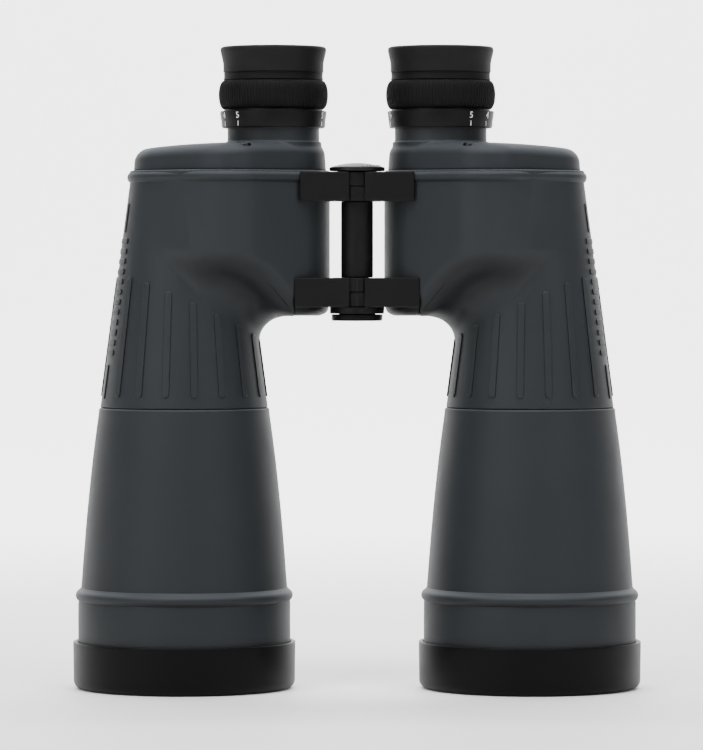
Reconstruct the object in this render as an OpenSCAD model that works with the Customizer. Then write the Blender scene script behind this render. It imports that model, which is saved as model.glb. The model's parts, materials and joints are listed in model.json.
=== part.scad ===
// Prism binoculars with individually focused eyepieces, standing on the two objective caps.
// Each half folds the light through two right-angle prisms, so the objective axes lie wider than
// the eyepiece axes. The halves turn about one hinge to suit the distance between the eyes.
// Frame: origin on the floor midway between the objective axes, +X towards the right half,
// -Y towards the flat faces of the hinge arms, +Z from the objectives to the eyepieces.
// Every module draws the left half; the right half is its mirror image.

/* [Objective barrel] */
// Clear aperture of each objective
clear_aperture = 70; // [50:1:80]
// Thickness of the lens cell around the clear aperture
cell_t = 5; // [4:0.5:8]
// Length of the straight rim that the cap slides over
rim_len = 33.2; // [28:0.2:42]
// Height of the round bead above the straight rim
bead_h = 6; // [4:0.5:8]
// How far the bead stands out from the barrel
bead_out = 1.1; // [0.5:0.1:2]
// Length of the tapered barrel between the bead and the body seam
taper_len = 75; // [60:1:95]
// Radius of the tapered barrel at the body seam
seam_r = 35.5; // [33:0.5:44]
// How much narrower the barrel is just above the bead than its rim
rim_step = 1.3; // [0.5:0.1:3]
// Outward crown of the tapered barrel at its middle
taper_crown = 0.9; // [0:0.1:2]
// Thickness of the doublet at its axis
doublet_t = 17; // [14:0.5:20]

/* [Objective cap] */
// Length of rim that the cap covers
cap_cover = 17; // [12:0.5:22]
// Thickness of the cap wall
cap_wall = 1.85; // [1.2:0.05:2.5]
// Thickness of the cap floor
cap_floor = 2; // [1.5:0.1:3]
// Radius of the cap's lower edge
cap_edge_r = 3.5; // [2:0.5:4.5]
// Running clearance between cap and rim
cap_clearance = 0.25; // [0.15:0.05:0.5]
// Gap between the cap floor and the rim's end
cap_gap = 0.6; // [0.3:0.1:1.5]

/* [Prism housing] */
// Radius of the housing's inner end, around the eyepiece axis
housing_r = 23.5; // [22.5:0.5:29]
// Sideways shift of the light between objective and eyepiece
prism_shift = 37.2; // [33:0.2:45]
// How far the housing's front crown stands ahead of the optical axes
crown_depth = 38; // [35:0.5:46]
// Length of the conical stub between the seam and the housing floor
stub_len = 38.2; // [32:0.2:46]
// Height of the housing from its floor to the ridge
housing_h = 55; // [52:0.5:66]
// Height of the ridge under the cover
ridge_h = 5.4; // [4:0.2:7]
// How far the ridge stands out
ridge_out = 0.7; // [0.4:0.1:1.5]
// Height of the rear cover above the ridge
cover_h = 11.6; // [11:0.2:15]
// How far the cover's wall is set in from the housing's
cover_inset = 1.2; // [0.5:0.1:2.5]
// Radius of the cover's upper edge
cover_edge_r = 4.2; // [3:0.2:5]
// Radius of the housing's lower edge
floor_edge_r = 4; // [2:0.5:6]
// Rise of the sloping underside in front of the lower prism
hip_rise = 22; // [16:0.5:26]
// Free space between that slope's inner face and the strap round the lower prism
hip_gap = 1; // [0.5:0.1:2]
// Thickness of the rubber armour
armour_t = 2.2; // [1.5:0.1:3]
// Thickness of the cast walls
cast_wall = 2; // [1.6:0.1:3]
// Grip ribs moulded round each barrel's armour
rib_count = 18; // [12:1:24]
// Short bars in the row on each half's outer side
bar_count = 12; // [6:1:16]

/* [Prisms] */
// Width of each prism
prism_w = 22; // [18:0.5:25]
// Thickness of the shelf between the prisms
shelf_t = 3; // [2:0.5:4]
// Radius of the light windows in the shelf
window_r = 10.5; // [8:0.5:12]
// Thickness of the spring straps that hold the prisms
strap_t = 0.8; // [0.5:0.1:1.2]
// Width of those straps
strap_w = 6; // [4:0.5:8]

/* [Hinge] */
// Gap between the hinge axis and the housing wall
hinge_gap = 11.3; // [10.5:0.1:15]
// How far the hinge axis lies ahead of the optical axes
hinge_depth = 12.5; // [10.5:0.5:14.5]
// Height of each hinge arm
arm_h = 12.1; // [10:0.1:15]
// Radius of the hinge knuckles
knuckle_r = 9.8; // [8.5:0.1:10]
// How far the arms' flat faces lie ahead of the hinge axis
face_depth = 10.6; // [10.4:0.1:11]
// Half the gap between the left and the right arm's faces
face_gap = 3.1; // [2.5:0.1:4]
// Reach of the upper arms from the hinge axis
upper_reach = 23.4; // [22:0.1:26]
// Reach of the lower arms from the hinge axis
lower_reach = 25.7; // [23:0.1:28]
// Radius of the hinge axle
axle_r = 5; // [4.6:0.1:6]
// Radius of the tube between the arms
tube_r = 6.65; // [6.3:0.05:8]
// Radius of the eye-distance scale disc
disc_r = 11.5; // [10:0.1:12]
// Height of the scale disc's dome
disc_h = 3.4; // [3:0.1:4.5]
// Height of the axle's foot flange
flange_h = 2.7; // [2.2:0.1:3.5]
// Thickness of the tripod socket's cap
socket_cap_h = 2.7; // [2:0.1:4]
// Radius of the tripod thread, for a quarter-inch camera screw
tripod_r = 3.175; // [3.175:0.8:4.8]
// Depth of the tripod thread
tripod_depth = 9; // [7:0.5:12]

/* [Eyepiece] */
// Radius of the fixed neck
neck_r = 19.1; // [18.3:0.1:20]
// Length of neck that shows at rest
neck_gap = 6.1; // [5:0.1:8]
// Height of the dioptre scale ring
scale_h = 7.9; // [6:0.1:10]
// Radius of the scale ring's upper edge
scale_r = 22.2; // [21.6:0.1:23]
// Height of the ribbed grip
grip_h = 11.7; // [10:0.1:14]
// Largest radius of the ribbed grip
grip_r = 23.3; // [22.8:0.1:24]
// Height of the plain band above the grip
band_h = 3.4; // [2.5:0.1:5]
// Height of the rubber eyecup
eyecup_h = 10.8; // [9:0.1:14]
// Radius of the eyecup at its waist
eyecup_r = 21; // [20.4:0.1:22]
// Flare of the eyecup's lip
eyecup_flare = 1.1; // [0.5:0.1:2]
// Radius of the eye lens
eye_lens_r = 12; // [10:0.5:12.5]
// Focusing travel each way from the middle setting
focus_travel = 3.65; // [2:0.05:4]

/* [Strap lug] */
// Length of the slot, for a webbing strap
lug_slot = 11; // [9:0.5:16]
// Height of the slot over the armour
lug_gap = 3; // [2:0.5:4]

/* [Hidden] */
$fn = 96;
FINE_FN = 48;
LENS_FN = 720;
EPS = 0.01;
FAR = 300;

// Fits and clearances
running = 0.05;
free = 0.3;
bedding = 0.1;
arm_clearance = 0.4;

// Radii of the objective barrel, from the clear aperture outwards
lens_r = clear_aperture / 2 + 2;
tube_bore = clear_aperture / 2 + cell_t;
rim_r = tube_bore + cast_wall + armour_t;
cap_bore = rim_r + cap_clearance;
cap_r = cap_bore + cap_wall;
taper_r = rim_r - rim_step;
stub_r = seam_r - 0.6;

// Levels above the floor, from the cap up to the eyecup
z_rim = cap_floor + cap_gap;
z_bead = z_rim + rim_len;
z_taper = z_bead + bead_h;
z_seam = z_taper + taper_len;
z_floor = z_seam + stub_len;
z_ridge = z_floor + housing_h;
z_cover = z_ridge + ridge_h;
z_top = z_cover + cover_h;
z_scale = z_top + neck_gap;
z_grip = z_scale + scale_h;
z_band = z_grip + grip_h;
z_eyecup = z_band + band_h;
z_end = z_eyecup + eyecup_h;

// Optical axes of the left half, seen from above
eye_axis = [-(housing_r + hinge_gap), 0];
objective_axis = eye_axis - [prism_shift, 0];
crown_r = housing_r - 2.5;
crown_axis = [eye_axis.x - prism_shift / 2, -(crown_depth - crown_r)];
outer_r = housing_r - 1;
housing_circles = [[eye_axis, housing_r], [objective_axis, outer_r], [crown_axis, crown_r]];
inner_inset = armour_t + cast_wall;

stub_taper = (stub_r - outer_r) / (z_ridge - z_seam);

// Prisms: the light steps forward to the turning axis and back to the eyepiece
prism_leg = prism_shift / sqrt(2);
// The roof's edge is ground flat where no light falls
prism_flat = (prism_leg - prism_w) / 2;
prism_h = prism_leg - prism_flat;
turning_axis = [eye_axis.x - prism_shift / 2, -prism_shift / 2];
shelf_inset = inner_inset + bedding;
cover_plate_t = 3;
neck_flange_h = 2.4;
z_shelf_top = z_top - cover_plate_t - neck_flange_h - strap_t - prism_h - 4 * bedding;
z_shelf = z_shelf_top - shelf_t;
// The slope of the underside runs under the lower strap's outer edge; distances along its fall from the
// hinge plane
strap_fall = (prism_shift / 2 - eye_axis.x) / sqrt(2) + strap_w / 2;
z_strap = z_shelf - prism_h - bedding - strap_t;
hip_foot = strap_fall + z_floor + inner_inset * sqrt(2) + hip_gap - z_strap;
cover_screw_r = 1.25;
cover_screws = [[crown_axis.x, outer_r - 6], objective_axis + polar(outer_r - 6, 110),
                crown_axis + polar(crown_r - 6.5, -60)];

// Hinge: levels of the arms and of the parts on the axle
hinge_axis = [0, -hinge_depth];
z_upper_arm = z_cover - 0.8 - arm_h;
z_lower_arm = z_floor + 3.8;
washer_t = 0.5;
knuckle_h = (arm_h - washer_t) / 2 - bedding;
z_axle = z_lower_arm - flange_h;
z_axle_top = z_upper_arm + arm_h + 1.6;
socket_recess = 1.2;
socket_recess_r = 8;
z_socket_cap = z_axle - socket_cap_h - free;
flange_r = disc_r - 0.25;
socket_cap_r = disc_r - 0.9;

// Eyepiece: radii and levels inside the rings
neck_bore = neck_r - 1.9;
ring_bore = neck_r + 0.4;
ocular_r = neck_bore - free;
z_neck_top = z_band - focus_travel - 3.5;
z_web = z_neck_top + focus_travel + 0.8;
z_ocular = z_top - 1;
z_ocular_step = z_web - 4;
z_ocular_top = z_eyecup - 1;
field_lens_r = ocular_r - 2.8;

// Strap lug on the back of the housing's outer end
lug_angle = 138;
lug_bar = 2.5;
z_lug = z_ridge - lug_slot - 14;

LEFT_RIGHT = ["body_casting", "body_armour", "rear_cover", "cover_screws", "cover_gasket", "prism_shelf",
    "upper_prism", "lower_prism", "prism_straps", "objective_tube", "objective_armour", "objective_cell",
    "objective_front_lens", "objective_rear_lens", "objective_retainer", "objective_cap", "eyepiece_neck",
    "ocular_barrel", "field_lens", "eye_lens", "dioptre_ring", "focus_ring", "eyecup", "upper_arm",
    "lower_arm", "strap_lug"];
SHARED = ["hinge_axle", "hinge_tube", "hinge_washers", "hinge_locknut", "scale_disc", "tripod_cap"];

// ---- shared shapes ----

function polar(r, a) = [r * cos(a), r * sin(a)];

// Angle of the outward normal of the line that touches circle a and then circle b, going anticlockwise
function touch_angle(a, b) =
    let (d = b[0] - a[0]) atan2(d.y, d.x) - acos((a[1] - b[1]) / norm(d));

// The two points where the line that joins circles i and i + 1 touches them, set in by inset; they lie
// a hair inside the circles, so that the line cuts each of them cleanly
function touch_points(i, inset) =
    let (c = housing_circles, a = c[i], b = c[(i + 1) % len(c)], n = touch_angle(a, b))
    [a[0] + polar(a[1] - inset - EPS, n), b[0] + polar(b[1] - inset - EPS, n)];

// Radius of the tapered barrel at share s of its length, from the bead up to the seam
function taper_at(s) = taper_r + (seam_r - taper_r) * s + taper_crown * sin(180 * s);

module at(p, z = 0) {
    translate([p.x, p.y, z]) children();
}

module pipe(r, bore, h) {
    difference() {
        cylinder(r = r, h = h);
        translate([0, 0, -1]) cylinder(r = bore, h = h + 2);
    }
}

module housing_slab(inset, z0, z1) {
    translate([0, 0, z0]) linear_extrude(z1 - z0) {
        for (c = housing_circles) translate(c[0]) circle(r = c[1] - inset);
        polygon([for (i = [0:len(housing_circles) - 1]) each touch_points(i, inset)]);
    }
}

// Insets and heights of a rounded edge of radius r, in steps
function round_steps(r, steps = 4) =
    r > 0 ? [for (i = [0:steps]) let (a = 90 * i / steps) [r * (1 - sin(a)), r * (1 - cos(a))]] : [[0, 0]];

// A slab whose lower edge is rounded
module round_slab(inset, z0, z1, r) {
    for (p = round_steps(r)) housing_slab(inset + p[0], z0 + p[1], z1);
}

// The underside climbs at 45 degrees towards the turning axis, then runs level
module hip_cut(inset) {
    lean = inset * (sqrt(2) - 1);
    drop = 30;
    rotate([0, 0, -135]) rotate([90, 0, 0]) translate([0, z_floor, -FAR]) linear_extrude(2 * FAR)
        polygon([[hip_foot - lean - drop, inset - drop], [hip_foot + hip_rise - lean, inset + hip_rise],
                 [FAR, inset + hip_rise], [FAR, inset - drop]]);
}

// Housing and conical stub as one solid, set in by inset all round; top is the housing's upper end
module body_solid(inset, top) {
    difference() {
        round_slab(inset, z_floor + inset, top, max(0, floor_edge_r - inset));
        hip_cut(inset);
    }
    // the stub runs into the housing's wall just inside the ridge
    over = 4;
    at(objective_axis, z_seam) cylinder(r1 = stub_r - inset, r2 = outer_r + 0.1 - inset - stub_taper * over,
                                        h = z_ridge - z_seam + over);
}

// ---- objective barrel ----

// Half section of the barrel from the rim to the seam, set in by inset
module barrel_section(inset, z_end_inset = 0) {
    steps = 8;
    crown = [for (i = [0:steps]) [taper_at(i / steps) - inset, z_taper + taper_len * i / steps]];
    polygon(concat([[0, z_rim], [rim_r - inset, z_rim], [rim_r - inset, z_bead]], crown, [[0, z_seam]]));
}

module objective_armour() {
    bead_r = bead_h / 2;
    color("darkslategray") at(objective_axis) rotate_extrude() difference() {
        union() {
            barrel_section(0);
            translate([rim_r + bead_out - bead_r, z_bead + bead_r]) circle(r = bead_r, $fn = FINE_FN);
        }
        barrel_section(armour_t);
        translate([0, z_rim - 1]) square([rim_r - armour_t, 2]);
        translate([0, z_seam - 1]) square([seam_r - armour_t, 2]);
    }
}

module objective_tube() {
    spigot = 8;
    spigot_r = stub_r - inner_inset - bedding - 1.2;
    color("dimgray") at(objective_axis) {
        rotate_extrude() difference() {
            barrel_section(armour_t);
            barrel_section(inner_inset);
            translate([0, z_rim - 1]) square([rim_r - inner_inset, 2]);
            translate([0, z_seam - cast_wall - EPS]) square([seam_r - 2 * inner_inset, cast_wall + 1]);
        }
        translate([0, 0, z_seam - cast_wall]) pipe(spigot_r, spigot_r - cast_wall, spigot + cast_wall);
    }
}

z_cell = z_rim + 8;
retainer_h = 3;
z_lens = z_cell + retainer_h;
front_lens_edge = doublet_t * 0.36;

module objective_cell() {
    cell_h = doublet_t + 4;
    color("black") at(objective_axis, z_cell) difference() {
        cylinder(r = tube_bore, h = cell_h);
        translate([0, 0, -1]) cylinder(r = clear_aperture / 2, h = cell_h + 2);
        translate([0, 0, -1]) cylinder(r = lens_r + bedding, h = cell_h - 1);
    }
}

module objective_retainer() {
    color("black") at(objective_axis, z_cell) pipe(lens_r, clear_aperture / 2, retainer_h - bedding);
}

// Radius of the sphere that stands out by sag over a disc of radius r
function ball(r, sag) = (r * r + sag * sag) / (2 * sag);

// A lens of radius r between two spheres; sag is how far each face stands out at the axis
module lens(r, edge, front_sag, back_sag) {
    front = ball(r, front_sag);
    back = ball(r, back_sag);
    rotate_extrude() intersection() {
        translate([0, -front_sag]) square([r, edge + front_sag + back_sag]);
        translate([0, front - front_sag]) circle(r = front, $fn = LENS_FN);
        translate([0, edge + back_sag - back]) circle(r = back, $fn = LENS_FN);
    }
}

module objective_front_lens() {
    color("lightblue", 0.4) at(objective_axis, z_lens + 4) lens(lens_r, front_lens_edge - 4, 4, 3);
}

module objective_rear_lens() {
    sag = 3 + bedding;
    dish = ball(lens_r, sag);
    color("lightblue", 0.4) at(objective_axis, z_lens + front_lens_edge) rotate_extrude() difference() {
        square([lens_r, doublet_t - front_lens_edge - retainer_h]);
        translate([0, sag - dish]) circle(r = dish, $fn = LENS_FN);
    }
}

module objective_cap() {
    r = cap_edge_r;
    // the inner fillet ends where the rim's edge begins
    inside = cap_gap;
    color("black") at(objective_axis) rotate_extrude() difference() {
        union() {
            translate([0, r]) square([cap_r, z_rim + cap_cover - r]);
            square([cap_r - r, r + 1]);
            translate([cap_r - r, r]) circle(r = r, $fn = FINE_FN);
        }
        translate([0, z_rim - cap_gap]) square([cap_bore - inside, FAR]);
        translate([0, z_rim - cap_gap + inside]) square([cap_bore, FAR]);
        translate([cap_bore - inside, cap_floor + inside]) circle(r = inside, $fn = FINE_FN);
        translate([-FAR, -FAR]) square([FAR, 2 * FAR]);
    }
}

// ---- prism housing ----

// What the arms and the bare lower corner take out of the armour, grown by gap
module arm_pockets(gap) {
    arm_block(z_upper_arm, upper_reach + gap, gap);
    arm_block(z_lower_arm, lower_reach + gap, gap);
    bare_corner(gap);
}

module bare_corner(gap) {
    x0 = -(lower_reach + gap);
    translate([x0, -hinge_depth - face_depth - gap, z_floor - 1])
        cube([lower_reach, face_depth + hinge_depth + 8 + 2 * gap, z_lower_arm - z_floor + 1 + arm_h / 2]);
}

module body_armour() {
    bead_r = ridge_h / 2;
    color("darkslategray") difference() {
        union() {
            body_solid(0, z_cover);
            housing_slab(-ridge_out, z_ridge + bead_r / 2, z_cover - bead_r / 2);
            housing_slab(-ridge_out / 2, z_ridge, z_cover);
            grip_ribs();
            side_bars();
        }
        body_solid(armour_t, z_cover + 1);
        at(objective_axis, z_seam - 1) cylinder(r = stub_r - armour_t, h = 2);
        arm_pockets(bedding);
        lug_seat(bedding);
    }
}

stub_lean = atan(stub_taper);

// Stands its children on the stub's surface at angle a and height z above the seam, x outwards and z up it
module on_stub(a, z) {
    at(objective_axis, z_seam) rotate([0, 0, a]) translate([stub_r, 0, 0]) rotate([0, -stub_lean, 0])
        translate([0, 0, z]) children();
}

// Raised ribs round the stub, longest on the outer side and shortest beside the housing
module grip_ribs() {
    rib_w = 2.4;
    rib_out = 0.45;
    embed = 0.6;
    foot = 4;
    for (i = [0:rib_count - 1]) {
        a = -101 + 360 * i / rib_count;
        rib_len = stub_len * (0.96 - 0.36 * cos(a - 20)) - rib_w;
        on_stub(a, foot + rib_w / 2) translate([-embed, 0, 0]) rotate([0, 90, 0]) linear_extrude(embed + rib_out) {
            translate([-rib_len, -rib_w / 2]) square([rib_len, rib_w]);
            circle(r = rib_w / 2, $fn = 24);
            translate([-rib_len, 0]) circle(r = rib_w / 2, $fn = 24);
        }
    }
}

// A plain row of short bars up the outer side, between two thin lines
module side_bars() {
    a = -162;
    pitch = 4.2;
    w = 8;
    low = stub_len - 18;
    embed = 1.2;
    for (i = [0:bar_count - 1])
        on_stub(a, low + pitch * i) translate([-embed, -w / 2, 0]) cube([embed + 0.4, w, pitch / 2]);
    on_stub(a, low - 16) translate([-embed, -0.6, 0]) cube([embed + 0.4, 1.2, 13]);
    on_stub(a, low + pitch * bar_count + 1) translate([-embed, -0.6, 0]) cube([embed + 0.4, 1.2, 12]);
}

module body_casting() {
    boss_r = 3;
    boss_h = 10;
    top = z_cover - bedding * 5;
    color("dimgray") difference() {
        union() {
            difference() {
                body_solid(armour_t, top);
                body_solid(inner_inset, z_cover + 1);
                at(objective_axis, z_seam - 1) cylinder(r = stub_r - inner_inset, h = 2);
            }
            intersection() {
                housing_slab(armour_t + 1, z_shelf, top);
                for (p = cover_screws) at(p, z_cover - boss_h) cylinder(r = boss_r, h = boss_h);
            }
            shelf_ledges();
        }
        for (p = cover_screws) at(p, z_cover - boss_h - 1)
            cylinder(r = cover_screw_r, h = boss_h + 2, $fn = FINE_FN);
        lug_bolts();
    }
}

// Three short ledges on the casting's wall that carry the shelf, clear of both prisms
module shelf_ledges() {
    ledge_w = 1.3;
    ledge_h = 2;
    z0 = z_shelf - bedding - ledge_h;
    difference() {
        intersection() {
            body_solid(armour_t + 1, z_cover);
            union() for (p = [objective_axis + polar(outer_r - 4, 200), eye_axis + polar(housing_r - 4, 60),
                              eye_axis + polar(housing_r - 4, -60)])
                at(p, z0) cylinder(r = 6, h = ledge_h);
        }
        housing_slab(inner_inset + ledge_w, z0 - 1, z_shelf);
    }
}

module cover_gasket() {
    color("black") difference() {
        housing_slab(armour_t + bedding, z_cover - bedding * 5, z_cover);
        housing_slab(inner_inset - bedding, z_cover - 1, z_cover + 1);
        for (p = cover_screws) at(p, z_cover - 1) cylinder(r = cover_screw_r + bedding, h = 2, $fn = FINE_FN);
    }
}

module rear_cover() {
    boss_r = 3.2;
    head_r = cover_screw_r * 2;
    color("darkslategray") difference() {
        union() {
            for (p = round_steps(cover_edge_r)) housing_slab(cover_inset + p[0], z_cover, z_top - p[1]);
        }
        difference() {
            housing_slab(inner_inset, z_cover - 1, z_top - cover_plate_t);
            for (p = cover_screws) at(p, z_cover - 2) cylinder(r = boss_r, h = cover_h + 2);
        }
        at(eye_axis, z_cover) cylinder(r = neck_r + bedding, h = cover_h + 1);
        for (p = cover_screws) {
            at(p, z_top - 1.6) cylinder(r = head_r + 0.3, h = 2);
            at(p, z_cover - 1) cylinder(r = cover_screw_r + bedding, h = cover_h, $fn = FINE_FN);
        }
    }
}

module cover_screws() {
    head_h = 1.2;
    head_r = cover_screw_r * 2;
    color("silver") for (p = cover_screws) at(p) {
        translate([0, 0, z_top - 1.6]) difference() {
            cylinder(r = head_r, h = head_h);
            for (a = [0, 90]) rotate([0, 0, a]) translate([-1.5, -0.3, head_h - 0.6]) cube([3, 0.6, 1]);
        }
        translate([0, 0, z_cover - 8]) cylinder(r = cover_screw_r - running, h = z_top - 1.6 - z_cover + 8,
                                                $fn = FINE_FN);
    }
}

// ---- prisms ----

// A right-angle prism with its long face at z = 0 and its roof up, from axis a to axis b
module prism_shape(a, b) {
    mid = (a + b) / 2;
    d = b - a;
    at(mid) rotate([0, 0, atan2(d.y, d.x)]) rotate([90, 0, 0]) translate([0, 0, -prism_w / 2])
        linear_extrude(prism_w) polygon([[-prism_leg, 0], [prism_leg, 0], [prism_flat, prism_h],
                                         [-prism_flat, prism_h]]);
}

module upper_prism() {
    color("lightcyan", 0.5) intersection() {
        translate([0, 0, z_shelf_top]) prism_shape(objective_axis, turning_axis);
        housing_slab(inner_inset + free, z_shelf, z_top);
    }
}

module lower_prism() {
    color("lightcyan", 0.5) intersection() {
        translate([0, 0, z_shelf]) mirror([0, 0, 1]) prism_shape(turning_axis, eye_axis);
        body_solid(inner_inset + free, z_cover);
    }
}

module prism_shelf() {
    color("darkgray") difference() {
        housing_slab(shelf_inset, z_shelf, z_shelf_top);
        for (p = [objective_axis, turning_axis, eye_axis]) at(p, z_shelf - 1)
            cylinder(r = window_r, h = shelf_t + 2);
        for (s = strap_screws()) at(s, z_shelf - 1) cylinder(r = 1, h = shelf_t + 2, $fn = FINE_FN);
    }
}

strap_foot = 4.5;
// The upper strap's inner foot is longer, so that its screw passes beside the lower strap's
long_foot = 8.5;

// Screw places of the two straps: beside each prism, across the line that joins its axes
function strap_screws() =
    [for (pair = [[objective_axis, turning_axis, long_foot], [turning_axis, eye_axis, strap_foot]])
        let (mid = (pair[0] + pair[1]) / 2, d = pair[1] - pair[0], a = atan2(d.y, d.x))
        for (s = [-1, 1]) mid + polar(s * (prism_w / 2 + strap_t + bedding + screw_reach(s, pair[2])), a + 90)];

function screw_reach(s, inner_foot) = s < 0 ? strap_foot / 2 : inner_foot - strap_foot / 2;

// A bent strap that stands on z = 0, climbs one side of the prism and crosses its roof
module strap(a, b, inner_foot) {
    mid = (a + b) / 2;
    d = b - a;
    w = prism_w / 2 + bedding;
    h = prism_h + bedding;
    foot = w + strap_t + strap_foot;
    at(mid) rotate([0, 0, atan2(d.y, d.x) + 90]) rotate([90, 0, 0]) translate([0, 0, -strap_w / 2])
        difference() {
            linear_extrude(strap_w) difference() {
                union() {
                    translate([-foot, 0]) square([foot + w + strap_t + inner_foot, strap_t]);
                    translate([-w - strap_t, 0]) square([2 * (w + strap_t), h + strap_t]);
                }
                translate([-w, -1]) square([2 * w, h + 1]);
            }
            for (s = [-1, 1]) translate([s * (w + strap_t + screw_reach(s, inner_foot)), -1, strap_w / 2])
                rotate([-90, 0, 0]) cylinder(r = 1, h = 3, $fn = FINE_FN);
        }
}

module prism_straps() {
    screw_r = 0.95;
    color("gold") {
        translate([0, 0, z_shelf_top]) strap(objective_axis, turning_axis, long_foot);
        translate([0, 0, z_shelf]) mirror([0, 0, 1]) strap(turning_axis, eye_axis, strap_foot);
    }
    places = strap_screws();
    color("silver") for (i = [0:3]) {
        up = i < 2;
        at(places[i], up ? z_shelf_top : z_shelf) mirror([0, 0, up ? 0 : 1]) {
            translate([0, 0, -shelf_t + 0.5]) cylinder(r = screw_r, h = shelf_t + strap_t, $fn = FINE_FN);
            translate([0, 0, strap_t]) cylinder(r = 1.7, h = 1.1, $fn = FINE_FN);
        }
    }
}

// ---- hinge ----

// Plan of an arm: a block from the hinge faces outwards past the armour
module arm_block(z, reach, gap) {
    y0 = -hinge_depth - face_depth - gap;
    y1 = -hinge_depth + knuckle_r - 1 + gap;
    translate([-reach, y0, z - gap]) cube([reach - face_gap, y1 - y0, arm_h + 2 * gap]);
}

// An arm whose knuckle is in its upper or its lower half; the other half clears the other arm's knuckle
module arm(z, reach, knuckle_up) {
    own = knuckle_up ? z + arm_h - knuckle_h : z;
    other = knuckle_up ? z : z + arm_h - knuckle_h;
    clear = arm_clearance + knuckle_r;
    color("black") difference() {
        union() {
            difference() {
                arm_block(z, reach, 0);
                housing_slab(armour_t, z_floor, z_cover);
                at(hinge_axis, other - washer_t - 2 * bedding)
                    cylinder(r = clear, h = knuckle_h + 2 * washer_t + 4 * bedding);
            }
            at(hinge_axis, own) cylinder(r = knuckle_r, h = knuckle_h);
        }
        at(hinge_axis, z - 1) cylinder(r = axle_r + running, h = arm_h + 2);
    }
}

module upper_arm(knuckle_up) {
    arm(z_upper_arm, upper_reach, knuckle_up);
}

// The lower arm also covers the housing's bare lower corner
module lower_arm(knuckle_up) {
    arm(z_lower_arm, lower_reach, knuckle_up);
    color("black") intersection() {
        difference() {
            body_solid(0.4, z_cover);
            body_solid(armour_t, z_cover);
        }
        bare_corner(0);
        translate([-FAR, -FAR, z_floor - 1]) cube([2 * FAR, 2 * FAR, z_lower_arm - z_floor + 1 + bedding]);
    }
}

module hinge_axle() {
    color("silver") at(hinge_axis) difference() {
        union() {
            translate([0, 0, z_axle]) cylinder(r = axle_r, h = z_axle_top - z_axle);
            translate([0, 0, z_axle]) cylinder(r = flange_r, h = flange_h - bedding);
        }
        translate([0, 0, z_axle - 1]) cylinder(r = socket_recess_r, h = 1 + socket_recess);
        translate([0, 0, z_axle]) cylinder(r = tripod_r, h = socket_recess + tripod_depth);
    }
}

module hinge_tube() {
    z0 = z_lower_arm + arm_h + bedding;
    color("black") at(hinge_axis, z0) pipe(tube_r, axle_r + running, z_upper_arm - bedding - z0);
}

module hinge_washers() {
    color("goldenrod") for (z = [z_upper_arm, z_lower_arm])
        at(hinge_axis, z + knuckle_h + bedding) pipe(knuckle_r - 0.6, axle_r + running, washer_t);
}

module hinge_locknut() {
    color("silver") at(hinge_axis, z_upper_arm + arm_h + bedding) difference() {
        cylinder(r = 8, h = 1.4, $fn = 6);
        translate([0, 0, -1]) cylinder(r = axle_r + running, h = 4);
    }
}

module scale_disc() {
    z0 = z_upper_arm + arm_h + bedding * 4;
    rim_h = 1.4;
    dome = ball(disc_r, disc_h - rim_h);
    color("darkslateblue") at(hinge_axis, z0) rotate_extrude() difference() {
        intersection() {
            square([disc_r, disc_h]);
            translate([0, disc_h - dome]) circle(r = dome, $fn = LENS_FN);
        }
        translate([0, -1]) square([8.6, 2.8]);
    }
}

module tripod_cap() {
    spigot_r = socket_recess_r - free;
    spigot_bore = tripod_r + 1.5;
    color("black") at(hinge_axis, z_socket_cap) {
        cylinder(r = socket_cap_r, h = socket_cap_h);
        translate([0, 0, socket_cap_h - EPS]) pipe(spigot_r, spigot_bore, socket_recess);
    }
}

// ---- eyepiece ----

module eyepiece_neck() {
    z0 = z_top - cover_plate_t - neck_flange_h;
    flange_r = neck_r + 1.2;
    color("darkslategray") at(eye_axis) {
        intersection() {
            translate([0, 0, z0]) pipe(flange_r, neck_bore, neck_flange_h);
            at(-eye_axis) housing_slab(inner_inset + bedding, z_cover, z_top);
        }
        translate([0, 0, z0]) pipe(neck_r, neck_bore, z_neck_top - z0);
    }
}

module ocular_barrel() {
    color("dimgray") at(eye_axis) difference() {
        translate([0, 0, z_ocular]) cylinder(r = ocular_r, h = z_ocular_top - z_ocular);
        translate([0, 0, z_ocular - 1]) cylinder(r = field_lens_r + bedding, h = z_ocular_step - z_ocular + 1);
        translate([0, 0, z_ocular_step + 1.5]) cylinder(r = eye_lens_r + bedding, h = FAR);
        translate([0, 0, z_ocular_step - 1]) cylinder(r = eye_lens_r - 1, h = FAR);
    }
}

module field_lens() {
    edge = 3;
    color("lightcyan", 0.4) at(eye_axis, z_ocular + 5) lens(field_lens_r, edge, 1.6, 2.4);
}

module eye_lens() {
    edge = 2.4;
    sag = 1.4;
    color("lightcyan", 0.4) at(eye_axis, z_ocular_step + 1.5 + 0.3) lens(eye_lens_r, edge, 0.2, sag);
}

module dioptre_ring() {
    foot_r = scale_r - 0.8;
    color("black") at(eye_axis, z_scale) difference() {
        cylinder(r1 = foot_r, r2 = scale_r, h = scale_h);
        translate([0, 0, -1]) cylinder(r = ring_bore, h = scale_h + 2);
    }
}

module focus_ring() {
    edge_r = 1.5;
    color("black") at(eye_axis) difference() {
        union() {
            translate([0, 0, z_grip]) rotate_extrude() {
                translate([0, edge_r]) square([grip_r, grip_h - 2 * edge_r]);
                square([grip_r - edge_r, grip_h]);
                for (y = [edge_r, grip_h - edge_r])
                    translate([grip_r - edge_r, y]) circle(r = edge_r, $fn = FINE_FN);
            }
            translate([0, 0, z_band]) cylinder(r = eyecup_r - 0.1, h = band_h);
        }
        translate([0, 0, z_grip - 1]) cylinder(r = ring_bore, h = z_web - z_grip + 1);
        translate([0, 0, z_grip]) cylinder(r = ocular_r + free, h = FAR);
    }
}

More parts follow.
